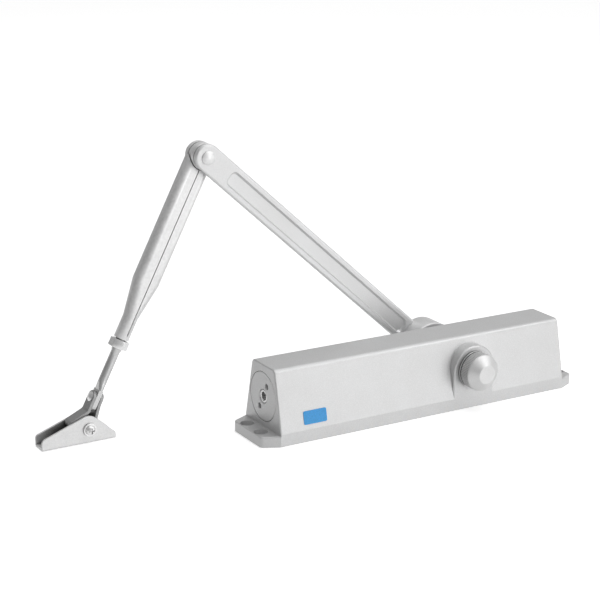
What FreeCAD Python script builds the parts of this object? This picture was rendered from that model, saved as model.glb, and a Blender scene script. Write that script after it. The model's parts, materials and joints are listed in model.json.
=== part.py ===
"""Surface-mounted rack-and-pinion door closer with its folding arm, in millimetres.

The origin is the centre of the four body screw holes on the mounting face. +X runs along the body,
+Y from the capped side to the arm side, and +Z away from the door. The arm is drawn folded over the
door, with the shoe on the plane of the mounting face.
"""
import FreeCAD, Part
import math
import operator
import os
import Sketcher
from types import SimpleNamespace

Vector = FreeCAD.Vector
Rotation = FreeCAD.Rotation

DIMENSIONS = {
    # Body casting.
    "body_length": 205.0,
    "body_width": 42.0,
    "body_height": 44.0,
    "top_width": 26.0,
    "band_height": 7.5,
    "foot_reach": 10.5,
    "foot_height": 6.5,
    "foot_taper": 5.0,
    "screw_pitch_x": 217.0,
    "screw_pitch_y": 16.2,
    "screw_hole_r": 2.75,
    "counterbore_r": 4.2,
    "counterbore_depth": 3.3,
    # Hydraulic cylinder and its end plugs.
    "axis_height": 24.5,
    "bore_r": 13.0,
    "plug_r": 15.0,
    "plug_depth": 14.0,
    "spanner_hole_r": 1.75,
    "spanner_circle_r": 8.0,
    "adjuster_r": 3.95,
    "clearance": 0.05,
    # Rack and pinion.
    "pinion_x": 33.0,
    "boss_r": 14.8,
    "gear_module": 1.25,
    "gear_teeth": 12.0,
    "gear_width": 16.0,
    "journal_r": 6.95,
    "bearing_r": 9.5,
    "square_side": 9.6,
    "piston_start": 10.0,
    "piston_length": 70.0,
    "window_start": 23.0,
    "window_length": 40.0,
    "seat_face": -76.0,
    "seat_thickness": 6.0,
    # Valves.
    "valve_r": 2.45,
    "valve_y": 15.5,
    "valve_height": 12.0,
    # Pinion cap.
    "cap_start": 22.9,
    "cap_r": 11.4,
    "cap_rim": 6.3,
    "cap_cone": 5.0,
    "cap_face_r": 5.7,
    # Main arm.
    "arm_length": 203.0,
    "arm_angle": 138.2,
    "arm_y": 35.0,
    "arm_thickness": 3.6,
    "arm_width": 16.0,
    "hub_r": 17.0,
    "hub_start": 23.4,
    "channel_width": 9.6,
    "channel_slope": 1.1,
    "channel_depth": 1.4,
    "channel_inset": 18.2,
    "elbow_pin_r": 3.0,
    "spacer_r": 7.9,
    # Forearm, rod and nut.
    "forearm_angle": 242.8,
    "forearm_y": 45.1,
    "forearm_width": 16.2,
    "forearm_corner": 4.0,
    "forearm_depth": 9.4,
    "sheet_thickness": 1.6,
    "box_end": 79.0,
    "tube_start": 101.0,
    "tube_end": 114.6,
    "tube_r": 4.5,
    "tube_bore_r": 3.0,
    "tongue_thickness": 4.4,
    "rod_thread_r": 2.95,
    "rod_shank_r": 2.6,
    "rivet_reach": 152.0,
    "nut_flats": 10.0,
    "nut_height": 5.0,
    # Link and shoe.
    "strap_width": 7.8,
    "strap_thickness": 1.8,
    "strap_gap": 2.9,
    "bush_r": 3.4,
    "link_rivet_r": 2.0,
    "rivet_x": 6.5,
    "shoe_screw_z": 8.3,
    "shoe_screw_r": 2.0,
    "shoe_inner": 8.4,
    "shoe_sheet": 1.4,
    "shoe_left": 29.1,
    "shoe_right": 16.4,
    "shoe_hole_pitch": 32.0,
}

doc = FreeCAD.newDocument("door_closer")
sheet = doc.addObject("Spreadsheet::Sheet", "dims")

OPERATIONS = {"+": operator.add, "-": operator.sub, "*": operator.mul, "/": operator.truediv}


class Size:
    """A length in millimetres that keeps the sheet formula it comes from."""

    def __init__(self, value, formula):
        self.value = value
        self.formula = formula

    def __float__(self):
        return self.value

    def __add__(self, other):
        return combine(self, "+", other)

    def __radd__(self, other):
        return combine(other, "+", self)

    def __sub__(self, other):
        return combine(self, "-", other)

    def __rsub__(self, other):
        return combine(other, "-", self)

    def __mul__(self, other):
        return combine(self, "*", other)

    def __truediv__(self, other):
        return combine(self, "/", other)

    def __neg__(self):
        return combine(0.0, "-", self)


def formula_of(number):
    return number.formula if isinstance(number, Size) else repr(float(number))


def combine(left, sign, right):
    value = OPERATIONS[sign](float(left), float(right))
    return Size(value, f"({formula_of(left)} {sign} {formula_of(right)})")


def fill_sheet():
    """Writes each driving dimension to its own aliased cell."""
    sizes = {}
    for row, (name, value) in enumerate(DIMENSIONS.items(), start=1):
        sheet.set(f"A{row}", name)
        sheet.set(f"B{row}", str(value))
        sheet.setAlias(f"B{row}", name)
        sizes[name] = Size(value, f"dims.{name}")
    doc.recompute()
    return SimpleNamespace(**sizes)


dim = fill_sheet()

AXIS_X = Rotation(Vector(0, 1, 0), 90)
AXIS_Y = Rotation(Vector(1, 0, 0), -90)
AXIS_Z = Rotation()
TURN_ABOUT_Y = Vector(0, -1, 0)
KEPT = []


# ---- small helpers -------------------------------------------------------------------------------


def bind(item, **sizes):
    """Ties properties of an object to sheet formulas."""
    for prop, number in sizes.items():
        item.setExpression(prop, formula_of(number))
    return item


def put(item, at, rotation=AXIS_Z):
    """Places an object, with each coordinate tied to its formula."""
    item.Placement = FreeCAD.Placement(Vector(*map(float, at)), rotation)
    for letter, number in zip("xyz", at):
        if isinstance(number, Size):
            item.setExpression(f".Placement.Base.{letter}", number.formula)
    return item


def cylinder(name, radius, height, at=(0, 0, 0), rotation=AXIS_Y):
    item = doc.addObject("Part::Cylinder", name)
    bind(item, Radius=radius, Height=height)
    return put(item, at, rotation)


def cone(name, radius, top_radius, height, at=(0, 0, 0), rotation=AXIS_Y):
    item = doc.addObject("Part::Cone", name)
    bind(item, Radius1=radius, Radius2=top_radius, Height=height)
    return put(item, at, rotation)


def box(name, length, width, height, at=(0, 0, 0)):
    item = doc.addObject("Part::Box", name)
    bind(item, Length=length, Width=width, Height=height)
    return put(item, at)


def hexagon(name, flats, height, at=(0, 0, 0), rotation=AXIS_Y):
    item = doc.addObject("Part::Prism", name)
    item.Polygon = 6
    bind(item, Circumradius=flats / math.sqrt(3.0), Height=height)
    return put(item, at, rotation)


def sphere(name, radius, at=(0, 0, 0)):
    item = doc.addObject("Part::Sphere", name)
    bind(item, Radius=radius)
    return put(item, at)


def fuse(name, *pieces):
    item = doc.addObject("Part::MultiFuse", name)
    item.Shapes = list(pieces)
    item.Refine = True
    return item


def common(name, base, tool):
    item = doc.addObject("Part::Common", name)
    item.Base = base
    item.Tool = tool
    return item


def cut(name, base, *tools):
    item = doc.addObject("Part::Cut", name)
    item.Base = base
    item.Tool = tools[0] if len(tools) == 1 else fuse(name + "_tools", *tools)
    item.Refine = True
    return item


def shaped(name, shape):
    """Keeps a shape that is worked out point by point."""
    item = doc.addObject("Part::Feature", name)
    item.Shape = shape
    return item


def keep(item, label, placement=None):
    """Names a finished sub-part and, where it has its own frame, moves it there."""
    item.Label = label
    if placement is not None:
        item.Placement = placement.multiply(item.Placement)
    KEPT.append(item)
    return item


def vector(x, y, z):
    return Vector(float(x), float(y), float(z))


# ---- PartDesign helpers --------------------------------------------------------------------------


def new_body(name):
    return doc.addObject("PartDesign::Body", name)


def new_sketch(body, name, plane, offset=(0, 0, 0)):
    """A sketch on one of the body's own origin planes, moved along the plane's normal or in it."""
    sketch = body.newObject("Sketcher::SketchObject", name)
    support = next(item for item in body.Origin.OriginFeatures if item.Role == plane)
    sketch.AttachmentSupport = [(support, "")]
    sketch.MapMode = "FlatFace"
    sketch.AttachmentOffset = FreeCAD.Placement(vector(*offset), Rotation())
    for letter, number in zip("xyz", offset):
        if isinstance(number, Size):
            sketch.setExpression(f".AttachmentOffset.Base.{letter}", number.formula)
    return sketch


def constrain(sketch, kind, geometry, point, number):
    """A driving dimension from the sketch origin, tied to the sheet."""
    index = sketch.addConstraint(Sketcher.Constraint(kind, geometry, point, float(number)))
    if isinstance(number, Size):
        sketch.setExpression(f"Constraints[{index}]", number.formula)


def draw_polygon(sketch, corners):
    points = [vector(x, y, 0) for x, y in corners]
    first = sketch.GeometryCount
    count = len(points)
    for index in range(count):
        sketch.addGeometry(Part.LineSegment(points[index], points[(index + 1) % count]))
    for index in range(count):
        following = first + (index + 1) % count
        sketch.addConstraint(Sketcher.Constraint("Coincident", first + index, 2, following, 1))
    for index, (x, y) in enumerate(corners):
        constrain(sketch, "DistanceX", first + index, 1, x)
        constrain(sketch, "DistanceY", first + index, 1, y)


def draw_circle(sketch, x, y, radius):
    index = sketch.addGeometry(Part.Circle(vector(x, y, 0), Vector(0, 0, 1), float(radius)))
    constrain(sketch, "DistanceX", index, 3, x)
    constrain(sketch, "DistanceY", index, 3, y)
    ring = sketch.addConstraint(Sketcher.Constraint("Radius", index, float(radius)))
    if isinstance(radius, Size):
        sketch.setExpression(f"Constraints[{ring}]", radius.formula)


def pad(body, name, sketch, length, symmetric=False, backwards=False):
    feature = body.newObject("PartDesign::Pad", name)
    feature.Profile = sketch
    feature.SideType = "Symmetric" if symmetric else "One side"
    feature.Reversed = backwards
    return bind(feature, Length=length)


def pocket(body, name, sketch, depth, symmetric=False, backwards=False):
    """Cuts a sketch into the body and stops if it removes nothing."""
    doc.recompute()
    before = body.Shape.Volume
    feature = body.newObject("PartDesign::Pocket", name)
    feature.Profile = sketch
    feature.SideType = "Symmetric" if symmetric else "One side"
    feature.Reversed = backwards
    bind(feature, Length=depth)
    doc.recompute()
    if body.Shape.Volume > before - 0.01:
        raise SystemExit(f"{name} cuts nothing")
    return feature


def round_edges(body, name, radius, wanted):
    """Fillets the edges of the tip whose end points satisfy a test."""
    doc.recompute()
    tip = body.Tip
    names = []
    for number, edge in enumerate(tip.Shape.Edges, start=1):
        ends = [vertex.Point for vertex in edge.Vertexes]
        if wanted(ends[0], ends[-1]):
            names.append(f"Edge{number}")
    if not names:
        raise SystemExit(f"{name} finds no edge")
    feature = body.newObject("PartDesign::Fillet", name)
    feature.Base = (tip, names)
    return bind(feature, Radius=radius)


def near(first, second, slack=0.01):
    return abs(float(first) - float(second)) < slack


# ---- outlines worked out by formula --------------------------------------------------------------


def path_edges(points, radii, offset):
    """Edges of a path of straight runs and tangent arcs, moved sideways by offset (left is +)."""
    joints = []
    for before, corner, after, radius in zip(points, points[1:], points[2:], radii):
        arriving = (corner - before).normalize()
        leaving = (after - corner).normalize()
        turn = arriving.getAngle(leaving)
        side = 1.0 if arriving.cross(leaving).z > 0 else -1.0
        reach = radius * math.tan(turn / 2)
        inward = Vector(-arriving.y, arriving.x, 0) * side
        centre = corner - arriving * reach + inward * radius
        new_radius = radius - side * offset
        bisector = (corner - centre).normalize()
        outward = Vector(-leaving.y, leaving.x, 0) * -side
        arc = [centre - inward * new_radius, centre + bisector * new_radius, centre + outward * new_radius]
        joints.append(arc)
    first_run = (points[1] - points[0]).normalize()
    last_run = (points[-1] - points[-2]).normalize()
    here = points[0] + Vector(-first_run.y, first_run.x, 0) * offset
    edges = []
    for arc in joints:
        edges.append(Part.makeLine(here, arc[0]))
        edges.append(Part.Arc(*arc).toShape())
        here = arc[2]
    edges.append(Part.makeLine(here, points[-1] + Vector(-last_run.y, last_run.x, 0) * offset))
    return edges


def strip_face(points, radii, thickness):
    """A bent strip of even thickness, as a face in the XY plane."""
    left = path_edges(points, radii, thickness / 2)
    right = path_edges(points, radii, -thickness / 2)
    starts = [edges[0].Vertexes[0].Point for edges in (left, right)]
    ends = [edges[-1].Vertexes[-1].Point for edges in (left, right)]
    caps = [Part.makeLine(*starts), Part.makeLine(*ends)]
    return Part.Face(Part.Wire(Part.__sortEdges__(left + right + caps)))


def rounded_section(x, across, deep, radius):
    """A closed rounded rectangle in the YZ plane at a station x, the same edges for every size."""
    half_y = deep / 2 - radius
    half_z = across / 2 - radius
    diagonal = radius * math.sqrt(0.5)
    edges = []
    here = Vector(x, half_y + radius, -half_z)
    for sign_y, sign_z, turn in ((1, 1, 1), (-1, 1, -1), (-1, -1, 1), (1, -1, -1)):
        centre = Vector(x, sign_y * half_y, sign_z * half_z)
        ends = [centre + Vector(0, sign_y * radius, 0), centre + Vector(0, 0, sign_z * radius)]
        start, end = ends[::turn]
        middle = centre + Vector(0, sign_y * diagonal, sign_z * diagonal)
        edges.append(Part.makeLine(here, start))
        edges.append(Part.Arc(start, middle, end).toShape())
        here = end
    return Part.Wire(edges)


def loft(*sections):
    return Part.makeLoft(list(sections), True, True)


def toothed_face(outer, inner, count, share=0.5):
    """A ring of narrow straight flutes, as a face in the XY plane."""
    points = []
    step = 2 * math.pi / count
    for tooth in range(count):
        for turn, radius in ((0.0, outer), (share, outer), ((1 + share) / 2, inner)):
            angle = (tooth + turn) * step
            points.append(Vector(radius * math.cos(angle), radius * math.sin(angle), 0))
    return Part.Face(Part.makePolygon(points + points[:1]))


def involute_gear_face(module, teeth, backlash):
    """A 20 degree involute gear with short teeth; the first tooth points along +X."""
    pitch_r = module * teeth / 2
    base_r = pitch_r * math.cos(math.radians(20))
    tip_r = pitch_r + 0.8 * module
    root_r = pitch_r - 1.05 * module
    roll_at_pitch = math.tan(math.radians(20)) - math.radians(20)
    half_tooth = math.pi / (2 * teeth) - backlash / (2 * pitch_r)
    half_at_base = half_tooth + roll_at_pitch
    steps = 5
    flank = []
    for step in range(steps + 1):
        radius = base_r + (tip_r - base_r) * step / steps
        pressure = math.acos(base_r / radius)
        flank.append((radius, half_at_base - (math.tan(pressure) - pressure)))
    undercut = half_at_base - 0.045
    points = []
    for tooth in range(int(teeth)):
        centre = 2 * math.pi * tooth / teeth
        rising = [(root_r, -undercut)] + [(radius, -half) for radius, half in flank]
        falling = [(radius, half) for radius, half in reversed(flank)] + [(root_r, undercut)]
        for radius, angle in rising + falling:
            points.append(Vector(radius * math.cos(centre + angle), radius * math.sin(centre + angle), 0))
    return Part.Face(Part.makePolygon(points + points[:1]))


def spring_coil(wire_r, coil_r, turns, length):
    """A compression spring of round wire along +X, from x = 0 to length."""
    lead = wire_r * 1.15
    height = length - 2 * lead
    spine = Part.makeHelix(height / turns, height, coil_r)
    profile = Part.Wire(Part.Circle(Vector(coil_r, 0, 0), Vector(0, 1, 0), wire_r).toShape())
    coil = Part.Wire(spine.Edges).makePipeShell([profile], True, True)
    coil.translate(Vector(0, 0, lead))
    coil.rotate(Vector(0, 0, 0), Vector(0, 1, 0), 90)
    return coil


# ---- frames of the moving groups -----------------------------------------------------------------

PINION_AXIS = vector(dim.pinion_x, 0, dim.axis_height)
ARM_TURN = Rotation(TURN_ABOUT_Y, float(dim.arm_angle))
ELBOW = PINION_AXIS + ARM_TURN.multVec(vector(dim.arm_length, 0, 0))
FOREARM_TURN = Rotation(TURN_ABOUT_Y, float(dim.forearm_angle))
LINK_RIVET = ELBOW + FOREARM_TURN.multVec(vector(dim.rivet_reach, dim.forearm_y, 0))
SHOE_SCREW = vector(LINK_RIVET.x - float(dim.rivet_x), dim.forearm_y, dim.shoe_screw_z)
BORE_AT = vector(0, 0, dim.axis_height)

PINION_FRAME = FreeCAD.Placement(PINION_AXIS, Rotation())
ARM_FRAME = FreeCAD.Placement(PINION_AXIS, ARM_TURN)
FOREARM_FRAME = FreeCAD.Placement(ELBOW + vector(0, dim.forearm_y, 0), FOREARM_TURN)
SHOE_FRAME = FreeCAD.Placement(SHOE_SCREW, Rotation())
BORE_FRAME = FreeCAD.Placement(BORE_AT, Rotation())


# ---- body casting --------------------------------------------------------------------------------


def make_casting():
    body = new_body("casting")
    half_width = dim.body_width / 2
    half_top = dim.top_width / 2
    half_length = dim.body_length / 2
    tip = half_length + dim.foot_reach
    tip_width = half_width - dim.foot_taper

    section = new_sketch(body, "casting_section", "YZ_Plane")
    draw_polygon(section, [
        (-half_width, 0), (half_width, 0), (half_width, dim.band_height),
        (half_top, dim.body_height), (-half_top, dim.body_height), (-half_width, dim.band_height),
    ])
    pad(body, "casting_pad", section, dim.body_length, symmetric=True)
    round_edges(body, "top_rounding", 3.0, lambda a, b: near(a.z, dim.body_height)
                and near(b.z, dim.body_height) and abs(a.x - b.x) > 50)
    round_edges(body, "end_rounding", 0.8, lambda a, b: near(abs(a.x), half_length)
                and near(a.x, b.x) and max(a.z, b.z) > float(dim.band_height) + 1)

    base = new_sketch(body, "foot_outline", "XY_Plane")
    draw_polygon(base, [
        (-tip, -tip_width), (-half_length, -half_width), (half_length, -half_width),
        (tip, -tip_width), (tip, tip_width), (half_length, half_width),
        (-half_length, half_width), (-tip, tip_width),
    ])
    pad(body, "foot_pad", base, dim.foot_height)
    round_edges(body, "foot_corner_rounding", 3.0, lambda a, b: near(abs(a.x), tip)
                and near(a.x, b.x) and near(a.y, b.y))
    round_edges(body, "foot_top_rounding", 0.8, lambda a, b: near(a.z, dim.foot_height)
                and near(b.z, dim.foot_height) and min(abs(a.x), abs(b.x)) > float(half_length) + 0.1)

    boss = new_sketch(body, "boss_circle", "XZ_Plane")
    draw_circle(boss, dim.pinion_x, dim.axis_height, dim.boss_r)
    pad(body, "boss_pad", boss, dim.body_width, symmetric=True)
    skirt = new_sketch(body, "boss_skirt", "XZ_Plane")
    draw_polygon(skirt, [
        (dim.pinion_x - dim.boss_r, 1.0), (dim.pinion_x + dim.boss_r, 1.0),
        (dim.pinion_x + dim.boss_r, dim.axis_height), (dim.pinion_x - dim.boss_r, dim.axis_height),
    ])
    pad(body, "skirt_pad", skirt, dim.body_width, symmetric=True)
    round_edges(body, "boss_rounding", 1.1, lambda a, b: near(abs(a.y), half_width)
                and near(a.y, b.y) and near(a.z, b.z) and near(a.z, dim.axis_height))

    bore = new_sketch(body, "bore_circle", "YZ_Plane")
    draw_circle(bore, 0, dim.axis_height, dim.bore_r)
    pocket(body, "bore_pocket", bore, dim.body_length + 2, symmetric=True)
    for name, shift, inward in (("left", dim.plug_depth - half_length, True),
                                ("right", half_length - dim.plug_depth, False)):
        mouth = new_sketch(body, f"{name}_plug_circle", "YZ_Plane", (0, 0, shift))
        draw_circle(mouth, 0, dim.axis_height, dim.plug_r)
        pocket(body, f"{name}_plug_pocket", mouth, dim.plug_depth + 1, backwards=not inward)
    cross = new_sketch(body, "bearing_circle", "XZ_Plane")
    draw_circle(cross, dim.pinion_x, dim.axis_height, dim.bearing_r)
    pocket(body, "bearing_pocket", cross, dim.body_width + 2, symmetric=True)

    holes = new_sketch(body, "screw_circles", "XY_Plane")
    sinks = new_sketch(body, "counterbore_circles", "XY_Plane", (0, 0, dim.foot_height))
    for side_x in (-1, 1):
        for side_y in (-1, 1):
            place = (dim.screw_pitch_x / 2 * side_x, dim.screw_pitch_y / 2 * side_y)
            draw_circle(holes, *place, dim.screw_hole_r)
            draw_circle(sinks, *place, dim.counterbore_r)
    pocket(body, "screw_pocket", holes, dim.foot_height * 2 + 2, symmetric=True)
    pocket(body, "counterbore_pocket", sinks, dim.counterbore_depth)

    valves = new_sketch(body, "valve_circles", "YZ_Plane", (0, 0, half_length))
    for side in (-1, 1):
        draw_circle(valves, dim.valve_y * side, dim.valve_height, dim.valve_r + dim.clearance)
    pocket(body, "valve_pocket", valves, 22.0)
    keep(body, "body_casting")


def make_label():
    """A plain plate lying on the sloping front face."""
    slope = math.degrees(math.atan2(8.0, float(dim.body_height - dim.band_height)))
    height = 14.3
    rise = (height - float(dim.band_height)) * math.tan(math.radians(slope))
    turn = Rotation(Vector(1, 0, 0), -slope)
    plate = box("label_box", 15.5, 0.3, 8.0)
    corner = Vector(-79.0, rise - float(dim.body_width) / 2, height)
    keep(plate, "label_plate", FreeCAD.Placement(corner + turn.multVec(Vector(-7.75, -0.3, -4.0)), turn))


# ---- end plugs -----------------------------------------------------------------------------------


def plug_blank(name, outward):
    """A round plug along +X from its inner face, with its seal groove near that face."""
    disc = cylinder(f"{name}_disc", dim.plug_r - 0.25, dim.plug_depth, rotation=AXIS_X)
    groove = cylinder(f"{name}_groove", dim.plug_r + 1, 2.4, (2.5, 0, 0), AXIS_X)
    core = cylinder(f"{name}_core", dim.plug_r - 2.2, 3.4, (2.0, 0, 0), AXIS_X)
    tools = [cut(f"{name}_groove_ring", groove, core)]
    for side in (-1, 1):
        angle = math.radians(60.0)
        across = dim.spanner_circle_r * math.cos(angle) * side
        up = dim.spanner_circle_r * math.sin(angle) * side * outward
        at = (dim.plug_depth - 4, across, up)
        tools.append(cylinder(f"{name}_spanner_{side + 1}", dim.spanner_hole_r, 5.0, at, AXIS_X))
    return disc, tools


def make_left_plug():
    disc, tools = plug_blank("left_plug", 1)
    eye_r = dim.adjuster_r + dim.clearance
    tools.append(cylinder("left_plug_eye", eye_r, 20.0, (-1, 0, 0), AXIS_X))
    at = (dim.plug_depth - 0.8, 0, 0)
    tools.append(cone("left_plug_bevel", eye_r - 0.2, eye_r + 0.7, 0.9, at, AXIS_X))
    plug = cut("left_plug", disc, *tools)
    turn = Rotation(Vector(0, 0, 1), 180)
    at = BORE_AT + vector(dim.plug_depth - dim.body_length / 2, 0, 0)
    keep(plug, "left_end_plug", FreeCAD.Placement(at, turn))


def make_right_plug():
    disc, tools = plug_blank("right_plug", -1)
    tools.append(hexagon("right_plug_socket", 8.0, 6.0, (dim.plug_depth - 5, 0, 0), AXIS_X))
    plug = cut("right_plug", disc, *tools)
    at = BORE_AT + vector(dim.body_length / 2 - dim.plug_depth, 0, 0)
    keep(plug, "right_end_plug", FreeCAD.Placement(at, Rotation()))


def make_plug_seal(label, station):
    ring = doc.addObject("Part::Torus", label + "_ring")
    bind(ring, Radius1=dim.plug_r - 1.12, Radius2=1.07)
    keep(ring, label, FreeCAD.Placement(BORE_AT + vector(station, 0, 0), AXIS_X))


def make_plug_seals():
    inset = dim.body_length / 2 - dim.plug_depth + 3.7
    make_plug_seal("left_plug_seal", -inset)
    make_plug_seal("right_plug_seal", inset)


# ---- spring adjustment ---------------------------------------------------------------------------


def make_adjuster():
    """Hex-socket screw through the left plug; it carries the spring seat."""
    shank = cylinder("adjuster_shank", dim.adjuster_r, 42.0, rotation=AXIS_X)
    socket = hexagon("adjuster_socket", 5.0, 5.0, (-1, 0, 0), AXIS_X)
    screw = cut("adjuster", shank, socket)
    at = BORE_AT + vector(0.4 - dim.body_length / 2, 0, 0)
    keep(screw, "adjuster_screw", FreeCAD.Placement(at, Rotation()))


def make_spring_seat():
    disc = cylinder("seat_disc", dim.bore_r - 0.5, dim.seat_thickness, rotation=AXIS_X)
    eye = cylinder("seat_eye", dim.adjuster_r + dim.clearance, 20.0, (-5, 0, 0), AXIS_X)
    seat = cut("seat", disc, eye)
    at = BORE_AT + vector(dim.seat_face - dim.seat_thickness, 0, 0)
    keep(seat, "spring_seat", FreeCAD.Placement(at, Rotation()))


def make_springs():
    length = float(dim.piston_start - dim.seat_face)
    at = FreeCAD.Placement(BORE_AT + vector(dim.seat_face, 0, 0), Rotation())
    keep(shaped("outer_coil", spring_coil(2.0, 10.3, 11, length)), "outer_spring", at)
    keep(shaped("inner_coil", spring_coil(1.3, 6.1, 16, length)), "inner_spring", at)


# ---- piston and pinion ---------------------------------------------------------------------------


def make_rack_teeth():
    """Straight-sided teeth that hang from the rack side of the piston window."""
    pitch = math.pi * float(dim.gear_module)
    pitch_line = float(dim.gear_module * dim.gear_teeth / 2)
    tip = pitch_line - 0.8 * float(dim.gear_module)
    root = pitch_line + 1.0 * float(dim.gear_module)
    lean = math.tan(math.radians(20))
    half = pitch / 4 - 0.05
    teeth = []
    for step in range(-2, 7):
        centre = float(dim.pinion_x) + (step + 0.5) * pitch
        half_tip = half - (pitch_line - tip) * lean
        half_root = half + (root + 0.4 - pitch_line) * lean
        width = float(dim.gear_width) / 2
        corners = [Vector(centre + x, -width, z) for x, z in
                   ((-half_tip, tip), (half_tip, tip), (half_root, root + 0.4), (-half_root, root + 0.4))]
        face = Part.Face(Part.makePolygon(corners + corners[:1]))
        teeth.append(face.extrude(Vector(0, 2 * width, 0)))
    return shaped("rack_teeth", Part.makeCompound(teeth))


def make_piston():
    radius = dim.bore_r - dim.clearance
    blank = cylinder("piston_blank", radius, dim.piston_length, (dim.piston_start, 0, 0), AXIS_X)
    pitch_r = dim.gear_module * dim.gear_teeth / 2
    low = -pitch_r - dim.gear_module - 0.3
    high = pitch_r + dim.gear_module
    window = box("piston_window", dim.window_length, 40.0, high - low, (dim.window_start, -20.0, low))
    passage = cylinder("piston_passage", 3.0, 30.0, (dim.window_start + dim.window_length - 1, 0, 0), AXIS_X)
    hollow = cut("piston_hollow", blank, window, passage)
    keep(fuse("piston", hollow, make_rack_teeth()), "piston", BORE_FRAME)


def make_check_valve():
    start = dim.piston_start + dim.piston_length - 9
    cage = cylinder("valve_cage", 3.0, 8.0, (start, 0, 0), AXIS_X)
    seat = cylinder("valve_seat", 1.5, 12.0, (start - 1, 0, 0), AXIS_X)
    ball = sphere("valve_ball", 2.2, (start + 3.5, 0, 0))
    keep(fuse("check_valve", cut("valve_shell", cage, seat), ball), "check_valve", BORE_FRAME)


def square_bar(name, side, length, start, turn):
    """A square bar along Y, turned about its own axis."""
    bar = box(name, side, length, side)
    bar.Placement = FreeCAD.Placement(turn.multVec(vector(-side / 2, start, -side / 2)), turn)
    return bar


def make_pinion():
    half_gear = dim.gear_width / 2
    gear_face = involute_gear_face(float(dim.gear_module), float(dim.gear_teeth), 0.1)
    gear = gear_face.extrude(vector(0, 0, dim.gear_width))
    gear.rotate(Vector(0, 0, 0), Vector(1, 0, 0), -90)
    gear.translate(vector(0, -half_gear, 0))
    front = cylinder("front_journal", dim.journal_r, dim.cap_start - half_gear, (0, -dim.cap_start, 0))
    back = cylinder("back_journal", dim.journal_r, 23.2 - half_gear, (0, half_gear, 0))
    front_square = square_bar("front_square", dim.square_side, 7.5, -30.0, Rotation())
    back_square = square_bar("back_square", dim.square_side, 15.0, 23.0, ARM_TURN)
    bar = fuse("pinion_bar", shaped("gear", gear), front, back, front_square, back_square)
    tapped = cylinder("pinion_tapping", 3.0, 16.0, (0, 23.5, 0))
    keep(cut("pinion", bar, tapped), "pinion_shaft", PINION_FRAME)


def shaft_ring(name, outer, start, thickness, bore):
    ring = cylinder(f"{name}_ring", outer, thickness, (0, start, 0))
    hole = cylinder(f"{name}_bore", bore, 2.0 + thickness, (0, start - 1, 0))
    return cut(name, ring, hole)


def make_pinion_rings():
    """Bearing, lip seal and cover ring on each side of the gear."""
    bore = dim.journal_r + dim.clearance
    for name, side in (("front", -1), ("back", 1)):
        rings = {}
        for part, outer, start, thickness in (("bearing", dim.bearing_r, 13.3, 5.0),
                                              ("shaft_seal", dim.bearing_r, 18.4, 2.5),
                                              ("cover_neck", dim.bearing_r + 0.9, 21.0, 0.8),
                                              ("cover_flange", dim.bearing_r + 2.3, 21.8, 0.5)):
            begin = start if side > 0 else -start - thickness
            rings[part] = shaft_ring(f"{name}_{part}_piece", outer, begin, thickness, bore)
        cover = fuse(f"{name}_cover_piece", rings["cover_neck"], rings["cover_flange"])
        keep(rings["bearing"], f"{name}_bearing", PINION_FRAME)
        keep(rings["shaft_seal"], f"{name}_shaft_seal", PINION_FRAME)
        keep(cover, f"{name}_cover_ring", PINION_FRAME)


def make_cap():
    """Fluted cap with a conical nose, pushed on the front square."""
    flutes = toothed_face(float(dim.cap_r), float(dim.cap_r) - 0.4, 72)
    rim = flutes.extrude(vector(0, 0, dim.cap_rim))
    rim.rotate(Vector(0, 0, 0), Vector(1, 0, 0), 90)
    rim.translate(vector(0, -dim.cap_start, 0))
    shoulder = float(dim.cap_start + dim.cap_rim)
    face = shoulder + float(dim.cap_cone)
    outline = [Vector(0, -shoulder, 0), Vector(float(dim.cap_r) - 0.2, -shoulder, 0),
               Vector(float(dim.cap_r) - 0.2, -shoulder - 0.6, 0), Vector(float(dim.cap_face_r), -face, 0),
               Vector(0, -face, 0), Vector(0, -shoulder, 0)]
    nose = Part.Face(Part.makePolygon(outline)).revolve(Vector(), Vector(0, 1, 0), 360)
    turned = [edge for edge in nose.Edges if edge.Length > 20 and edge.BoundBox.YLength < 0.01
              and edge.BoundBox.YMax < -shoulder - 0.3]
    nose = nose.makeFillet(0.9, turned)
    solid = fuse("cap_solid", shaped("cap_rim", rim), shaped("cap_nose", nose))
    socket = square_bar("cap_socket", dim.square_side + 0.1, 8.0, -30.6, Rotation())
    keep(cut("cap", solid, socket), "pinion_cap", PINION_FRAME)


# ---- main arm ------------------------------------------------------------------------------------


def channel_wire(depth):
    """Outline of the arm's channel at a depth below its face; the walls slope."""
    start = float(dim.hub_r) + 2.0
    end = float(dim.arm_length - dim.channel_inset)
    inset = float(dim.channel_slope) * depth / float(dim.channel_depth)
    width = float(dim.channel_width) - 2 * inset
    wire = rounded_section(-float(dim.arm_y) - depth, width, end - start - 2 * inset, 3.3 - 0.8 * inset)
    wire.rotate(Vector(0, 0, 0), Vector(0, 0, 1), -90)
    wire.translate(Vector((start + end) / 2, 0, 0))
    return wire


def arm_channel():
    return shaped("arm_channel", loft(channel_wire(-0.3), channel_wire(float(dim.channel_depth))))


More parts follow.
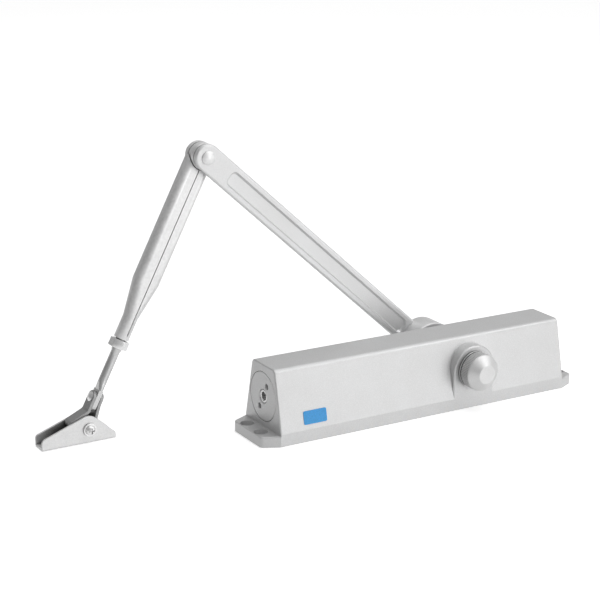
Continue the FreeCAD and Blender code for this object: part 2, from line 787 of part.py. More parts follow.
def make_main_arm():
    body = new_body("arm")
    half = dim.arm_width / 2
    back = dim.arm_y + dim.arm_thickness

    plate = new_sketch(body, "arm_plate", "XZ_Plane", (0, 0, -dim.arm_y))
    draw_polygon(plate, [(0, -half), (dim.arm_length, -half), (dim.arm_length, half), (0, half)])
    pad(body, "arm_plate_pad", plate, dim.arm_thickness, backwards=True)
    tip = new_sketch(body, "arm_end", "XZ_Plane", (0, 0, -dim.arm_y))
    draw_circle(tip, dim.arm_length, 0, half)
    pad(body, "arm_end_pad", tip, dim.arm_thickness, backwards=True)
    round_edges(body, "arm_edge_rounding", 1.2, lambda a, b: near(a.y, b.y)
                and min(a.x, b.x) < 1 and max(a.x, b.x) > 100)

    hub = new_sketch(body, "arm_hub", "XZ_Plane", (0, 0, -dim.hub_start))
    draw_circle(hub, 0, 0, dim.hub_r)
    pad(body, "arm_hub_pad", hub, back - dim.hub_start, backwards=True)
    round_edges(body, "hub_edge_rounding", 1.0, lambda a, b: near(a.y, dim.hub_start)
                and near(b.y, dim.hub_start))

    side = dim.square_side / 2 + 0.05
    socket = new_sketch(body, "arm_socket", "XZ_Plane")
    draw_polygon(socket, [(-side, -side), (side, -side), (side, side), (-side, side)])
    pocket(body, "arm_socket_pocket", socket, 100.0, symmetric=True)
    pin = new_sketch(body, "arm_pin_hole", "XZ_Plane")
    draw_circle(pin, dim.arm_length, 0, dim.elbow_pin_r)
    pocket(body, "arm_pin_pocket", pin, 100.0, symmetric=True)
    keep(cut("arm_piece", body, arm_channel()), "main_arm", ARM_FRAME)


def make_arm_fastening():
    back = dim.arm_y + dim.arm_thickness
    washer = shaft_ring("arm_washer_piece", 9.0, back, 1.4, 3.0)
    keep(washer, "arm_washer", ARM_FRAME)
    head = cylinder("arm_screw_head", 5.0, 4.5, (0, back + 1.4, 0))
    shank = cylinder("arm_screw_shank", 3.0, 15.0, (0, back - 13.0, 0))
    socket = hexagon("arm_screw_socket", 5.0, 3.5, (0, back + 3.4, 0))
    keep(cut("arm_screw_piece", fuse("arm_screw_solid", head, shank), socket), "arm_screw", ARM_FRAME)


def head_profile(radius, height, start, side):
    """Half profile of a low spherical head that rises along Y from a face towards side."""
    rim = 0.3 * height
    rise = height - rim
    ball = (radius ** 2 + rise ** 2) / (2 * rise)
    lean = math.asin(radius / ball) / 2
    corner = Vector(radius, start, 0)
    edge = Vector(radius, start + side * rim, 0)
    middle = Vector(ball * math.sin(lean), start + side * (height - ball + ball * math.cos(lean)), 0)
    top = Vector(0, start + side * height, 0)
    return corner, edge, middle, top


def headed_pin(name, shank_r, start, end, start_head, end_head=None):
    """A pin along Y, turned in one piece from its profile; a head is (radius, height)."""
    neck, tail = vector(shank_r, start, 0), vector(shank_r, end, 0)
    corner, edge, middle, top = head_profile(*start_head, float(start), -1)
    outline = [Part.Arc(top, middle, edge).toShape(), Part.makeLine(edge, corner),
               Part.makeLine(corner, neck), Part.makeLine(neck, tail)]
    finish = vector(0, end, 0)
    if end_head is None:
        outline.append(Part.makeLine(tail, finish))
    else:
        corner, edge, middle, finish = head_profile(*end_head, float(end), 1)
        outline += [Part.makeLine(tail, corner), Part.makeLine(corner, edge),
                    Part.Arc(edge, middle, finish).toShape()]
    outline.append(Part.makeLine(finish, top))
    return shaped(name, Part.Face(Part.Wire(outline)).revolve(Vector(), Vector(0, 1, 0), 360))


def make_elbow():
    """Rivet and spacer fixed in the end of the main arm."""
    at = FreeCAD.Placement(ELBOW, ARM_TURN)
    web_far = dim.forearm_y + dim.forearm_depth / 2
    tongue_face = web_far - dim.tongue_thickness
    back = dim.arm_y + dim.arm_thickness
    pin = headed_pin("elbow_pin", dim.elbow_pin_r, dim.arm_y, web_far + 0.3, (4.1, 1.5), (4.8, 1.8))
    keep(pin, "elbow_rivet", at)
    neck = shaft_ring("spacer_neck", dim.spacer_r - 2, back, 0.6, dim.elbow_pin_r)
    collar = shaft_ring("spacer_collar", dim.spacer_r, back + 0.6, tongue_face - 0.9 - back, dim.elbow_pin_r)
    keep(fuse("spacer_piece", neck, collar), "elbow_spacer", at)


# ---- forearm, nut and rod ------------------------------------------------------------------------


def forearm_loft(shrink, tube_r, start, end):
    """The folded sheet's outer or inner wall: a box that draws in to a round tube."""
    across = float(dim.forearm_width) - 2 * shrink
    deep = float(dim.forearm_depth) - 2 * shrink
    corner = float(dim.forearm_corner) - 0.8 * shrink
    narrow = (2 * tube_r, 2 * tube_r, tube_r - 0.02)
    sections = [rounded_section(start, across, deep, corner),
                rounded_section(float(dim.box_end), across, deep, corner),
                rounded_section(float(dim.tube_start), *narrow),
                rounded_section(end, *narrow)]
    return loft(*sections)


def make_forearm():
    sheet_t = float(dim.sheet_thickness)
    half_deep = float(dim.forearm_depth) / 2
    tongue_t = float(dim.tongue_thickness)
    tongue_near = half_deep - tongue_t
    outer = forearm_loft(0.0, float(dim.tube_r), 0.0, float(dim.tube_end))
    inner = forearm_loft(sheet_t, float(dim.tube_bore_r), -2.0, float(dim.tube_end) + 2.0)
    tongue_r = float(dim.forearm_width) / 2
    along_y = Vector(0, 1, 0)
    tongue = Part.makeCylinder(tongue_r, tongue_t, Vector(0, tongue_near, 0), along_y)
    rim = [edge for edge in tongue.Edges if near(edge.BoundBox.YMin, half_deep)]
    tongue = tongue.makeFillet(1.6, rim)
    spacer_room = Part.makeCylinder(tongue_r + 0.3, 20.0, Vector(0, tongue_near - 20.0, 0), along_y)
    seam = Part.makeBox(113.0, 3.0, 0.5, Vector(-1.0, -half_deep - 1.0, 0.4))
    hole = Part.makeCylinder(float(dim.elbow_pin_r + dim.clearance), 20.0, Vector(0, -5, 0), along_y)
    walls = outer.cut(inner).cut(spacer_room).cut(seam)
    keep(shaped("forearm_sheet", walls.fuse(tongue).cut(hole).removeSplitter()), "forearm", FOREARM_FRAME)


def make_lock_nut():
    start = dim.tube_end + 0.8
    flat_forward = AXIS_X.multiply(Rotation(Vector(0, 0, 1), 30))
    blank = hexagon("nut_blank", dim.nut_flats, dim.nut_height, (start, 0, 0), flat_forward)
    ball = sphere("nut_ball", 6.15, (start + dim.nut_height / 2, 0, 0))
    hole = cylinder("nut_hole", dim.rod_thread_r + dim.clearance, 20.0, (start - 5, 0, 0), AXIS_X)
    keep(cut("nut", common("nut_body", blank, ball), hole), "lock_nut", FOREARM_FRAME)


def make_rod():
    """Threaded end inside the forearm, plain shank, and an eye flattened to fit the link."""
    reach = float(dim.rivet_reach)
    shank_r = float(dim.rod_shank_r)
    eye_r = 3.6
    flat = 2.6
    shoulder = 122.0
    thread = Part.makeCylinder(float(dim.rod_thread_r), shoulder - 88.0, Vector(88, 0, 0), Vector(1, 0, 0))
    shank = Part.makeCylinder(shank_r, reach - 11.0 - shoulder, Vector(shoulder, 0, 0), Vector(1, 0, 0))
    spread = loft(rounded_section(reach - 11.0, 2 * shank_r, 2 * shank_r, shank_r - 0.02),
                  rounded_section(reach - 5.2, flat, 2 * eye_r, 1.2))
    past = 4.4
    plate = Part.makeBox(5.2 + past, 2 * eye_r, flat, Vector(reach - 5.2, -eye_r, -flat / 2))
    eye = Part.makeCylinder(eye_r, flat, Vector(reach + past, 0, -flat / 2), Vector(0, 0, 1))
    hole_r = float(dim.link_rivet_r + dim.clearance)
    hole = Part.makeCylinder(hole_r, 10.0, Vector(reach, 0, -5), Vector(0, 0, 1))
    rod = thread.fuse([shank, spread, plate, eye]).cut(hole).removeSplitter()
    keep(shaped("rod", rod), "threaded_rod", FOREARM_FRAME)


# ---- link ----------------------------------------------------------------------------------------


def make_link_strap():
    """A strip bent round the bush, its two legs rising either side of the rod's eye."""
    rivet = Vector(LINK_RIVET.x - SHOE_SCREW.x, LINK_RIVET.z - SHOE_SCREW.z, 0)
    angle = math.radians(float(dim.forearm_angle))
    down = Vector(math.cos(angle), math.sin(angle), 0)
    left = Vector(down.y, -down.x, 0)
    thickness = float(dim.strap_thickness)
    width = float(dim.strap_width)
    spread = (float(dim.strap_gap) + thickness) / 2
    loop = float(dim.bush_r) + thickness / 2
    bend = rivet + left * spread + down * 8.5
    lean = math.radians(205.0)
    tip = bend + Vector(13.8 * math.cos(lean), 13.8 * math.sin(lean), 0)
    approach = math.atan2(-tip.y, -tip.x) - math.asin(loop / tip.Length)
    points = [
        rivet + left * spread - down * (width / 2),
        bend,
        tip,
        Vector(loop, tip.y + (loop - tip.x) * math.tan(approach), 0),
        Vector(loop, 3.0, 0),
        rivet - left * spread + down * 3.0,
        rivet - left * spread - down * (width / 2),
    ]
    strip = strip_face(points, [3.0, 1.6, loop, 8.0, 3.0], thickness)
    strap = strip.extrude(Vector(0, 0, width))
    strap.translate(Vector(0, 0, -width / 2))
    top = Part.makeCylinder(width / 2, 40.0, rivet - left * 20.0, left)
    below = Part.makeBox(60.0, 60.0, 20.0, Vector(0, -30.0, -10.0))
    below.rotate(Vector(0, 0, 0), Vector(0, 0, 1), float(dim.forearm_angle))
    below.translate(rivet)
    hole = Part.makeCylinder(float(dim.link_rivet_r), 40.0, rivet - left * 20.0, left)
    strap = strap.common(top.fuse(below)).cut(hole)
    strap.rotate(Vector(0, 0, 0), Vector(1, 0, 0), 90)
    keep(shaped("strap", strap), "link_strap", SHOE_FRAME)


def make_link_bush():
    bush = shaft_ring("bush_piece", dim.bush_r, -float(dim.strap_width) / 2, dim.strap_width,
                      dim.shoe_screw_r + dim.clearance)
    keep(bush, "link_bush", SHOE_FRAME)


def make_link_rivet():
    """Rivet along the local Z of the forearm, through both legs and the rod's eye."""
    half = float(dim.strap_gap) / 2 + float(dim.strap_thickness)
    pin = headed_pin("link_pin", dim.link_rivet_r, -half, half, (2.9, 1.2), (2.9, 1.2))
    turn = FOREARM_TURN.multiply(Rotation(Vector(1, 0, 0), 90))
    keep(pin, "link_rivet", FreeCAD.Placement(LINK_RIVET, turn))


# ---- shoe ----------------------------------------------------------------------------------------


def make_shoe():
    body = new_body("shoe")
    floor = -dim.shoe_screw_z
    width = dim.shoe_inner + dim.shoe_sheet * 2
    side = new_sketch(body, "shoe_side", "XZ_Plane")
    draw_polygon(side, [
        (-dim.shoe_left, floor), (dim.shoe_right, floor), (dim.shoe_right, floor + 3.8),
        (0.8, floor + 17.4), (-dim.shoe_left, floor + 6.5),
    ])
    pad(body, "shoe_pad", side, width, symmetric=True)
    for name, radius, x, z in (("left", 2.5, -dim.shoe_left, floor + 6.5), ("peak", 7.0, 0.8, floor + 17.4),
                               ("right", 2.5, dim.shoe_right, floor + 3.8)):
        round_edges(body, f"shoe_{name}_rounding", radius, lambda a, b, x=x, z=z: near(a.x, x)
                    and near(a.z, z) and near(b.x, x) and near(b.z, z))
    round_edges(body, "shoe_bend_rounding", 1.2, lambda a, b: near(a.z, floor)
                and near(b.z, floor) and abs(a.x - b.x) > 20)
    channel = new_sketch(body, "shoe_channel", "YZ_Plane")
    half = dim.shoe_inner / 2
    inside = floor + dim.shoe_sheet
    draw_polygon(channel, [(-half, inside), (half, inside), (half, 20), (-half, 20)])
    pocket(body, "shoe_channel_pocket", channel, 100.0, symmetric=True)
    cross = new_sketch(body, "shoe_cross_hole", "XZ_Plane")
    draw_circle(cross, 0, 0, dim.shoe_screw_r + dim.clearance)
    pocket(body, "shoe_cross_pocket", cross, 20.0, symmetric=True)
    base = new_sketch(body, "shoe_base_holes", "XY_Plane", (0, 0, floor))
    for side in (-1, 1):
        draw_circle(base, (dim.shoe_right - dim.shoe_left + dim.shoe_hole_pitch * side) / 2, 0, 2.2)
    pocket(body, "shoe_base_pocket", base, 6.0, symmetric=True)
    keep(body, "shoe_bracket", SHOE_FRAME)


def make_shoe_fastening():
    outer = float(dim.shoe_inner) / 2 + float(dim.shoe_sheet)
    washer = shaft_ring("shoe_washer_piece", 3.9, -outer - 1.2, 1.2, dim.shoe_screw_r)
    keep(washer, "shoe_washer", SHOE_FRAME)
    face = outer + 1.2
    pin = headed_pin("shoe_screw_solid", dim.shoe_screw_r, -face, 9.4, (2.9, 2.8))
    cross = [box("shoe_cross_a", 3.6, 1.6, 0.8, (-1.8, -face - 3.0, -0.4)),
             box("shoe_cross_b", 0.8, 1.6, 3.6, (-0.4, -face - 3.0, -1.8))]
    screw = cut("shoe_screw_piece", pin, *cross)
    keep(screw, "shoe_screw", SHOE_FRAME)
    blank = hexagon("shoe_nut_blank", 7.0, 3.2, (0, outer, 0))
    hole = cylinder("shoe_nut_hole", dim.shoe_screw_r, 10.0, (0, outer - 2.0, 0))
    keep(cut("shoe_nut_piece", blank, hole), "shoe_nut", SHOE_FRAME)


# ---- valves --------------------------------------------------------------------------------------


def make_valves():
    """Two slotted regulating screws in the right end face."""
    for label, side in (("sweep_valve", -1), ("latch_valve", 1)):
        shank = cylinder(f"{label}_shank", dim.valve_r, 15.0, rotation=AXIS_X)
        point = cone(f"{label}_point", 0.6, dim.valve_r, 3.5, (-3.5, 0, 0), AXIS_X)
        slot = box(f"{label}_slot", 1.5, 6.0, 0.9, (14.0, -3.0, -0.45))
        screw = cut(f"{label}_screw", fuse(f"{label}_solid", shank, point), slot)
        at = vector(dim.body_length / 2 - 15.3, dim.valve_y * side, dim.valve_height)
        keep(screw, label, FreeCAD.Placement(at, Rotation()))


def check_and_export():
    """Stops on any failed object or bad solid, then writes one file for each sub-part."""
    doc.recompute()
    for item in doc.Objects:
        if "Invalid" in item.State or "Error" in item.State:
            raise SystemExit(f"{item.Label} failed: {item.State}")
    os.makedirs("parts", exist_ok=True)
    for item in KEPT:
        shape = item.Shape
        if shape.isNull() or not shape.isValid() or not shape.Solids:
            raise SystemExit(f"{item.Label} has no valid solid")
        shape.exportStep(f"parts/{item.Label}.step")
        print(f"{item.Label}: {len(shape.Solids)} solid, {shape.Volume:.1f} mm3")


make_casting()
make_label()
make_left_plug()
make_right_plug()
make_plug_seals()
make_adjuster()
make_spring_seat()
make_springs()
make_piston()
make_check_valve()
make_pinion()
make_pinion_rings()
make_cap()
make_main_arm()
make_arm_fastening()
make_elbow()
make_forearm()
make_lock_nut()
make_rod()
make_link_strap()
make_link_bush()
make_link_rivet()
make_shoe()
make_shoe_fastening()
make_valves()
check_and_export()
print("elbow", ELBOW, "rivet", LINK_RIVET, "shoe screw", SHOE_SCREW)
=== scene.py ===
import bmesh
import bpy
import json
import math
from mathutils import Matrix, Vector


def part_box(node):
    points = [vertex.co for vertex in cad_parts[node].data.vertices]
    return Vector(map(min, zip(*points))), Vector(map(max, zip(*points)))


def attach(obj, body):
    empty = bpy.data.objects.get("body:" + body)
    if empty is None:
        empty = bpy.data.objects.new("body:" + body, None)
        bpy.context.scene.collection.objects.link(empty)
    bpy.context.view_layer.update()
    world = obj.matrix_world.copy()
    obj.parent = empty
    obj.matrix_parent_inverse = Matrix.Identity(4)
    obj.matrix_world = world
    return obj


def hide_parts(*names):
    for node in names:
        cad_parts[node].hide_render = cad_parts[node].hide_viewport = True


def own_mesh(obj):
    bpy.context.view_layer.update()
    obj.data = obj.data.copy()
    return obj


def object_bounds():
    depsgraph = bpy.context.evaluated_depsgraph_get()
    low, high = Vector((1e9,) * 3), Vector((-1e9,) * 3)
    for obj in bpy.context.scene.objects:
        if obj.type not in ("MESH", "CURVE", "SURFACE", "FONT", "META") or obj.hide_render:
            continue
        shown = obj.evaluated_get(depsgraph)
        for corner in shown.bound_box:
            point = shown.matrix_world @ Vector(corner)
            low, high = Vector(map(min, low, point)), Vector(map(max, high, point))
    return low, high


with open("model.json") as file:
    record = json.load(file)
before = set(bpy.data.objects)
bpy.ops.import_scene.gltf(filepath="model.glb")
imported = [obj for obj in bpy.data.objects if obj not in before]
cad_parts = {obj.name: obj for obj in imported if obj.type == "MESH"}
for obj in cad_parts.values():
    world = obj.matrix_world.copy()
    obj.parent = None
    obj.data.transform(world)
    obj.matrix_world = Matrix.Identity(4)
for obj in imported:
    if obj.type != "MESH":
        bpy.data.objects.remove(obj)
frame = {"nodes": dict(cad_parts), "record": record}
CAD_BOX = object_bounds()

NODES = frame["nodes"]
MM = 0.001
WHITE = (1.0, 1.0, 1.0, 1.0)


# ---- material building ---------------------------------------------------------------------------

def map_range(tree, value, low, high, start, end):
    """value from low..high drawn out over start..end."""
    node = tree.nodes.new("ShaderNodeMapRange")
    for socket, number in (("From Min", low), ("From Max", high), ("To Min", start), ("To Max", end)):
        node.inputs[socket].default_value = number
    tree.links.new(value, node.inputs["Value"])
    return node.outputs["Result"]


class Shade:
    """A node material that is built up layer by layer."""

    def __init__(self, name, **sockets):
        self.material = bpy.data.materials.new(name)
        self.material.use_nodes = True
        self.tree = self.material.node_tree
        self.shader = self.tree.nodes["Principled BSDF"]
        self.place = self.add("ShaderNodeTexCoord").outputs["Object"]
        for socket, value in sockets.items():
            self.shader.inputs[socket.replace("_", " ")].default_value = value

    def add(self, kind, **settings):
        node = self.tree.nodes.new(kind)
        for name, value in settings.items():
            setattr(node, name, value)
        return node

    def link(self, source, target):
        self.tree.links.new(source, target)

    def stretched(self, scale):
        """Texture coordinates drawn out by a different scale along each axis."""
        mapping = self.add("ShaderNodeMapping")
        mapping.inputs["Scale"].default_value = scale
        self.link(self.place, mapping.inputs["Vector"])
        return mapping.outputs["Vector"]

    def noise(self, size, detail, place=None):
        """Noise whose lumps are about size metres across."""
        node = self.add("ShaderNodeTexNoise")
        node.inputs["Scale"].default_value = 1.0 / size
        node.inputs["Detail"].default_value = detail
        node.inputs["Roughness"].default_value = 0.55
        self.link(place or self.place, node.inputs["Vector"])
        return node.outputs["Fac"]

    def spread(self, value, low, high, start=0.0, end=1.0):
        return map_range(self.tree, value, low, high, start, end)

    def times(self, value, factor):
        node = self.add("ShaderNodeMath", operation="MULTIPLY")
        self.link(value, node.inputs[0])
        node.inputs[1].default_value = factor
        return node.outputs["Value"]

    def mix(self, factor, first, second):
        """Colour that goes from first to second."""
        node = self.add("ShaderNodeMix", data_type="RGBA")
        sockets = {socket.identifier: socket for socket in node.inputs}
        self.link(factor, sockets["Factor_Float"])
        for key, value in (("A_Color", first), ("B_Color", second)):
            if isinstance(value, tuple):
                sockets[key].default_value = (*value, 1.0)
            else:
                self.link(value, sockets[key])
        return next(socket for socket in node.outputs if socket.identifier == "Result_Color")

    def cover(self, base, mask, amount, colour):
        """base with colour laid over it where mask is 1."""
        return self.mix(self.times(mask, amount), base, colour)

    def edges(self, radius):
        """1 on convex edges and in tight corners, 0 on open faces."""
        soft = self.add("ShaderNodeBevel", samples=6)
        soft.inputs["Radius"].default_value = radius
        flat = self.add("ShaderNodeNewGeometry").outputs["Normal"]
        dot = self.add("ShaderNodeVectorMath", operation="DOT_PRODUCT")
        self.link(soft.outputs["Normal"], dot.inputs[0])
        self.link(flat, dot.inputs[1])
        return self.spread(dot.outputs["Value"], 0.999, 0.85)

    def corners(self, distance, open_side, closed=0.15):
        """1 in recesses and where parts meet, 0 in the open."""
        node = self.add("ShaderNodeAmbientOcclusion", samples=8)
        node.inputs["Distance"].default_value = distance
        return self.spread(node.outputs["AO"], open_side, closed)

    def relief(self, *layers):
        """Bump from (height, distance) layers, stacked."""
        normal = None
        for height, distance in layers:
            bump = self.add("ShaderNodeBump")
            bump.inputs["Distance"].default_value = distance
            self.link(height, bump.inputs["Height"])
            if normal is not None:
                self.link(normal, bump.inputs["Normal"])
            normal = bump.outputs["Normal"]
        self.link(normal, self.shader.inputs["Normal"])

    def colour(self, output):
        self.link(output, self.shader.inputs["Base Color"])

    def roughness(self, output):
        self.link(output, self.shader.inputs["Roughness"])


def grey(value, warm=0.0):
    return (value * (1 + warm), value, value * (1 - warm))


def flake_and_highlight_tone(tone):
    """The brighter tone of a flake, and of the painted highlight on an edge."""
    return grey(min(1.0, tone * 1.35))


# ---- finishes ------------------------------------------------------------------------------------

def paint(name, tone):
    """Fine metallic spray paint: flakes, orange peel, a painted highlight on edges and painted shade in
    the corners.
    """
    made = Shade(name, Metallic=0.42, Specular_IOR_Level=0.5)
    flakes = made.noise(0.45 * MM, detail=2.0)
    clouds = made.noise(24 * MM, detail=2.0)
    peel = made.noise(1.4 * MM, detail=1.0)
    base = made.mix(made.spread(clouds, 0.3, 0.7), grey(tone * 0.975), grey(tone * 1.02, -0.004))
    base = made.cover(base, made.spread(flakes, 0.42, 0.68), 0.28, flake_and_highlight_tone(tone))
    # Painted highlight: a lighter grey laid along edges and tight corners through a bevel mask.
    base = made.cover(base, made.edges(0.5 * MM), 0.25, grey(0.9, 0.01))
    # Painted shade: the colour goes near black in corners and where parts meet, through ambient occlusion.
    made.colour(made.cover(base, made.corners(1.6 * MM, 0.6), 0.75, grey(0.1, 0.03)))
    made.roughness(made.spread(flakes, 0.3, 0.75, 0.5, 0.36))
    made.relief((peel, 0.012 * MM), (flakes, 0.01 * MM))
    return made.material


def metal(name, tone, rough=(0.24, 0.4), size=0.35 * MM, drawn=(1, 1, 1), warm=0.0, metallic=1.0,
          depth=0.01 * MM, reach=1.2 * MM, hollow=(0.7, 0.15), painted_shade=0.6):
    """Bare or plated metal: fine marks drawn along one axis, a painted highlight on edges, painted shade
    within reach of corners.
    """
    made = Shade(name, Metallic=metallic)
    marks = made.noise(size, detail=4.0, place=made.stretched(drawn))
    clouds = made.noise(6 * MM, detail=2.0)
    base = made.mix(made.spread(marks, 0.3, 0.7), grey(tone * 0.92, warm), grey(tone * 1.05, warm))
    base = made.cover(base, made.spread(clouds, 0.45, 0.75), 0.18, grey(tone * 0.8, warm))
    # Painted highlight: a lighter tone laid along edges.
    base = made.cover(base, made.edges(0.35 * MM), 0.4, flake_and_highlight_tone(tone))
    # Painted shade: the colour darkens through ambient occlusion within reach of corners and in recesses.
    made.colour(made.cover(base, made.corners(reach, *hollow), painted_shade, grey(0.04, 0.05)))
    made.roughness(made.spread(marks, 0.3, 0.7, *rough))
    made.relief((marks, depth))
    return made.material


def moulded(name, colour, rough, depth=0.02 * MM):
    """Rubber or plastic with a faint grain."""
    made = Shade(name, Specular_IOR_Level=0.4)
    grain = made.noise(0.5 * MM, detail=3.0)
    light = tuple(min(1.0, part * 1.25 + 0.01) for part in colour)
    base = made.mix(made.spread(grain, 0.35, 0.65), colour, light)
    # Painted highlight: a lighter colour laid along edges.
    made.colour(made.cover(base, made.edges(0.2 * MM), 0.3, light))
    made.roughness(made.spread(grain, 0.3, 0.7, rough - 0.06, rough + 0.06))
    made.relief((grain, depth))
    return made.material


# In the metal finishes, reach, hollow and the darkening amount set the painted shade near corners and in
# recesses.
FINISHES = {
    "silver_paint": (paint, dict(tone=0.6)),
    "arm_silver": (paint, dict(tone=0.69)),
    "cap_silver": (metal, dict(tone=0.7, rough=(0.42, 0.56), metallic=0.5, reach=1.6 * MM, painted_shade=0.9)),
    "zinc_bright": (metal, dict(tone=0.8, rough=(0.36, 0.5), size=1.6 * MM, metallic=0.5,
                                depth=0.006 * MM, painted_shade=0.85)),
    # zinc_pale's 12 mm reach spreads the painted shade deep into recesses.
    "zinc_pale": (metal, dict(tone=0.74, rough=(0.38, 0.52), size=0.7 * MM, metallic=0.5,
                              reach=12 * MM, hollow=(0.66, 0.36), painted_shade=0.9)),
    "screw_zinc": (metal, dict(tone=0.86, rough=(0.26, 0.4), metallic=0.6)),
    # ring_zinc is screw_zinc with a stronger painted shade in its corners and gaps.
    "ring_zinc": (metal, dict(tone=0.86, rough=(0.26, 0.4), metallic=0.6,
                              reach=1.6 * MM, hollow=(0.72, 0.4), painted_shade=0.95)),
    "link_steel": (metal, dict(tone=0.34, rough=(0.36, 0.52), metallic=0.6, depth=0.02 * MM)),
    "rod_steel": (metal, dict(tone=0.62, rough=(0.26, 0.4), metallic=0.6)),
    "pinion_steel": (metal, dict(tone=0.4, rough=(0.22, 0.36))),
    "piston_iron": (metal, dict(tone=0.3, rough=(0.3, 0.5), drawn=(0.1, 1, 1))),
    "spring_steel": (metal, dict(tone=0.3, rough=(0.3, 0.45))),
    "adjuster_steel": (metal, dict(tone=0.62, rough=(0.3, 0.42), metallic=0.8)),
    "valve_brass": (metal, dict(tone=0.5, rough=(0.24, 0.38), warm=0.28)),
    "bearing_bronze": (metal, dict(tone=0.38, rough=(0.28, 0.42), warm=0.3)),
    "seal_rubber": (moulded, dict(colour=(0.02, 0.02, 0.022), rough=0.6)),
    "label_plain": (moulded, dict(colour=(0.02, 0.34, 0.78), rough=0.38, depth=0.006 * MM)),
}
MATERIALS = {name: make(name, **settings) for name, (make, settings) in FINISHES.items()}
OWN_FINISH = {"front_cover_ring": "ring_zinc", "back_cover_ring": "ring_zinc", "shoe_washer": "screw_zinc"}


# ---- CAD parts -----------------------------------------------------------------------------------

EDGE_WIDTHS = {
    "body_casting": 0.45, "main_arm": 0.4, "forearm": 0.3, "shoe_bracket": 0.25, "lock_nut": 0.25,
    "left_end_plug": 0.3, "right_end_plug": 0.3, "adjuster_screw": 0.3, "link_strap": 0.25,
    "threaded_rod": 0.3, "arm_washer": 0.25, "arm_screw": 0.3, "shoe_washer": 0.2, "shoe_nut": 0.25,
    "elbow_spacer": 0.3, "shoe_screw": 0.12, "pinion_shaft": 0.3, "sweep_valve": 0.2,
    "latch_valve": 0.2, "pinion_cap": 0.1, "front_cover_ring": 0.12,
}       # in millimetres
WELD_GAP = 0.002 * MM
FLAT_ANGLE = math.radians(0.4)
SHARP_ANGLE = math.radians(38)


def round_edges(item, width, angle):
    """Rounds the edges of an object that are sharper than angle."""
    bevel = item.modifiers.new("bevel", "BEVEL")
    bevel.width = width
    bevel.segments = 2
    bevel.limit_method = "ANGLE"
    bevel.angle_limit = angle


def merge_flats(item):
    """Turns the triangles of each flat face into one face."""
    weld = item.modifiers.new("weld", "WELD")
    weld.merge_threshold = WELD_GAP
    flat = item.modifiers.new("flat", "DECIMATE")
    flat.decimate_type = "DISSOLVE"
    flat.angle_limit = FLAT_ANGLE


def finish_parts():
    """Gives every CAD node its material, and softer edges where it has an edge width."""
    for part in frame["record"]["subparts"]:
        node = part["node"]
        item = NODES[node]
        item.data.materials.clear()
        item.data.materials.append(MATERIALS[OWN_FINISH.get(node, part["material_slot"])])
        if node in EDGE_WIDTHS:
            merge_flats(item)
            round_edges(item, EDGE_WIDTHS[node] * MM, SHARP_ANGLE)


# ---- label and springs ---------------------------------------------------------------------------

LABEL_CORNER = 1.0 * MM
LABEL_EDGE = 0.1 * MM
WIRE_SIDES = 12
STEPS_PER_TURN = 36


def add_piece(name, mesh, slot):
    """An object from a bmesh, in the material of a slot, that stays with the body."""
    data = bpy.data.meshes.new(name)
    mesh.to_mesh(data)
    mesh.free()
    data.materials.clear()
    data.materials.append(MATERIALS[slot])
    piece = bpy.data.objects.new(name, data)
    bpy.context.scene.collection.objects.link(piece)
    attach(piece, "closer_body")
    return piece


def make_label():
    """The plain label plate with its four corners rounded."""
    plate = bmesh.new()
    plate.from_mesh(NODES["label_plate"].data)
    bmesh.ops.remove_doubles(plate, verts=plate.verts, dist=WELD_GAP)
    bmesh.ops.dissolve_limit(plate, angle_limit=math.radians(1), verts=plate.verts, edges=plate.edges)
    uprights = sorted(plate.edges, key=lambda edge: edge.calc_length())[:4]
    bmesh.ops.bevel(plate, geom=uprights, offset=LABEL_CORNER, segments=6, profile=0.5, affect="EDGES")
    piece = add_piece("label_face", plate, "label_plain")
    round_edges(piece, LABEL_EDGE, math.radians(60))
    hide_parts("label_plate")


def wire_rings(box, wire, turns, start, end):
    """Rings of points round a wire wound about X inside a box, from share start to share end."""
    low, high = box
    middle = (low + high) / 2
    radius = (high.z - low.z) / 2 - wire
    length = high.x - low.x - 2 * wire
    steps = round(turns * (end - start) * STEPS_PER_TURN)
    sides = [math.tau * side / WIRE_SIDES for side in range(WIRE_SIDES)]
    for step in range(steps + 1):
        share = start + (end - start) * step / steps
        angle = math.tau * turns * share
        outward = Vector((0, math.cos(angle), math.sin(angle)))
        centre = Vector((low.x + wire + length * share, middle.y, middle.z)) + outward * radius
        yield [centre + outward * wire * math.cos(side) + Vector((wire * math.sin(side), 0, 0))
               for side in sides]


def add_wire(name, rings):
    """A closed round wire through rings of points."""
    mesh = bmesh.new()
    loops = [[mesh.verts.new(point) for point in ring] for ring in rings]
    for first, second in zip(loops, loops[1:]):
        for side in range(WIRE_SIDES):
            after = (side + 1) % WIRE_SIDES
            mesh.faces.new((first[side], first[after], second[after], second[side]))
    mesh.faces.new(loops[0])
    mesh.faces.new(reversed(loops[-1]))
    bmesh.ops.recalc_face_normals(mesh, faces=mesh.faces)
    piece = add_piece(name, mesh, "spring_steel")
    piece.data.shade_smooth()
    return piece


def make_spring(node, wire, turns):
    """The spring drawn as two halves that meet halfway; both stay with the body."""
    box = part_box(node)
    for name, start, end, joint in (("seat_half", 0.0, 0.5, "seat_slide"),
                                    ("piston_half", 0.5, 1.0, "piston_slide")):
        piece = add_wire(f"{node}_{name}", wire_rings(box, wire, turns, start, end))
        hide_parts(node)
        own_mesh(piece)


# ---- floor, light and camera ---------------------------------------------------------------------

FLOOR_HALF = 60.0
FLOOR_GAP = 0.05 * MM
ROOM_LEFT, ROOM_RIGHT, ROOM_BELOW = 0.2, 0.62, 0.42
FRONT_POWER, TOP_POWER, EDGE_POWER = 10.0, 9.0, 5.5
LIGHT_TARGET = Vector((0.0, 0.0, 0.04))

AZIMUTH, ELEVATION, ROLL = -30.81, 16.69, 0.42
CAMERA_DISTANCE = 0.94448
CAMERA_TARGET = Vector((-90.61, -21.0, 86.36)) * MM
FOCAL_LENGTH, SENSOR = 101.07, 36.0


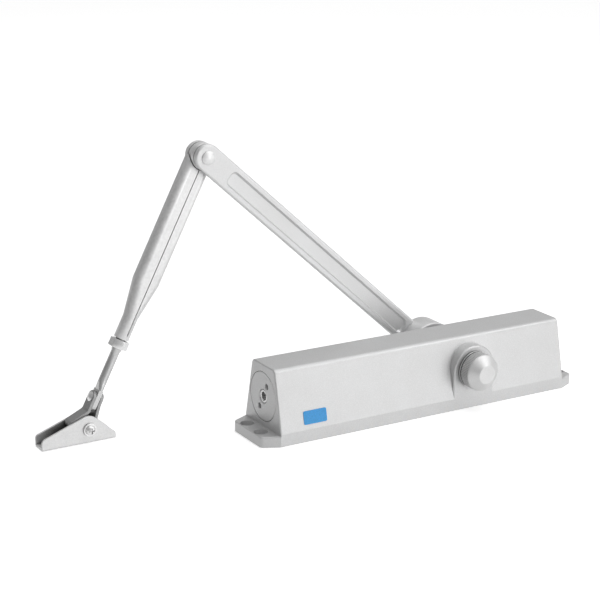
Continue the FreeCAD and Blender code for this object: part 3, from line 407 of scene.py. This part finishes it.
def make_floor():
    """A wide pale floor just under the mounting plane, which shades nothing above it."""
    half = FLOOR_HALF
    low = CAD_BOX[0].z - FLOOR_GAP
    outline = [(-half, -half, low), (half, -half, low), (half, half, low), (-half, half, low)]
    mesh = bpy.data.meshes.new("floor")
    mesh.from_pydata(outline, [], [(0, 1, 2, 3)])
    made = Shade("floor_white", Roughness=0.9, Specular_IOR_Level=0.1, Emission_Strength=0.52,
                 Emission_Color=WHITE)
    made.colour(made.mix(made.spread(made.noise(0.4, detail=2.0), 0.3, 0.7), grey(0.9), grey(0.92)))
    mesh.materials.append(made.material)
    floor = bpy.data.objects.new("floor", mesh)
    bpy.context.scene.collection.objects.link(floor)
    floor.visible_diffuse = False
    floor.visible_shadow = False


def make_room():
    """A pale room that is brighter towards the right and dimmer below."""
    world = bpy.data.worlds.new("studio")
    bpy.context.scene.world = world
    world.use_nodes = True
    tree = world.node_tree
    split = tree.nodes.new("ShaderNodeSeparateXYZ")
    tree.links.new(tree.nodes.new("ShaderNodeTexCoord").outputs["Generated"], split.inputs[0])
    across = map_range(tree, split.outputs["X"], -1.0, 0.6, ROOM_LEFT, ROOM_RIGHT)
    height = map_range(tree, split.outputs["Z"], -0.6, 0.2, ROOM_BELOW, 1.0)
    strength = tree.nodes.new("ShaderNodeMath")
    strength.operation = "MULTIPLY"
    tree.links.new(across, strength.inputs[0])
    tree.links.new(height, strength.inputs[1])
    background = tree.nodes["Background"]
    background.inputs["Color"].default_value = WHITE
    tree.links.new(strength.outputs["Value"], background.inputs["Strength"])


def make_light(name, place, width, height, power):
    """A rectangular lamp that faces the middle of the body."""
    lamp = bpy.data.lights.new(name, "AREA")
    lamp.shape = "RECTANGLE"
    lamp.size = width
    lamp.size_y = height
    lamp.energy = power
    item = bpy.data.objects.new(name, lamp)
    item.location = place
    item.rotation_mode = "QUATERNION"
    item.rotation_quaternion = (LIGHT_TARGET - Vector(place)).to_track_quat("-Z", "Y")
    bpy.context.scene.collection.objects.link(item)
    return item


def make_lights():
    """Soft lamps in front and above, and one that only puts gloss on edges."""
    make_light("front_soft", (0.8, -1.55, 0.0), 1.2, 1.2, FRONT_POWER)
    make_light("top_soft", (0.1, 0.1, 1.6), 1.4, 1.4, TOP_POWER)
    gloss = make_light("edge_soft", (0.64, -0.72, 0.95), 1.1, 0.5, EDGE_POWER)
    gloss.visible_diffuse = False
    bpy.context.scene.view_settings.view_transform = "Standard"
    bpy.context.scene.view_settings.look = "None"


def make_camera():
    """Looks at the object from its front left, a little above it."""
    azimuth, elevation, roll = map(math.radians, (AZIMUTH, ELEVATION, ROLL))
    back = Vector((math.sin(azimuth) * math.cos(elevation), -math.cos(azimuth) * math.cos(elevation),
                   math.sin(elevation)))
    right = Vector((0, 0, 1)).cross(back).normalized()
    up = back.cross(right)
    across = right * math.cos(roll) + up * math.sin(roll)
    upright = up * math.cos(roll) - right * math.sin(roll)
    data = bpy.data.cameras.new("camera")
    data.lens = FOCAL_LENGTH
    data.sensor_width = SENSOR
    data.clip_start = 0.01
    data.clip_end = 200.0
    camera = bpy.data.objects.new("camera", data)
    turn = Matrix((across, upright, back)).transposed().to_4x4()
    camera.matrix_world = Matrix.Translation(CAMERA_TARGET + back * CAMERA_DISTANCE) @ turn
    bpy.context.scene.collection.objects.link(camera)
    bpy.context.scene.camera = camera


finish_parts()
make_label()
make_spring("outer_spring", 2.0 * MM, 10.5)
make_spring("inner_spring", 1.3 * MM, 15.5)
make_floor()
make_room()
make_lights()
make_camera()
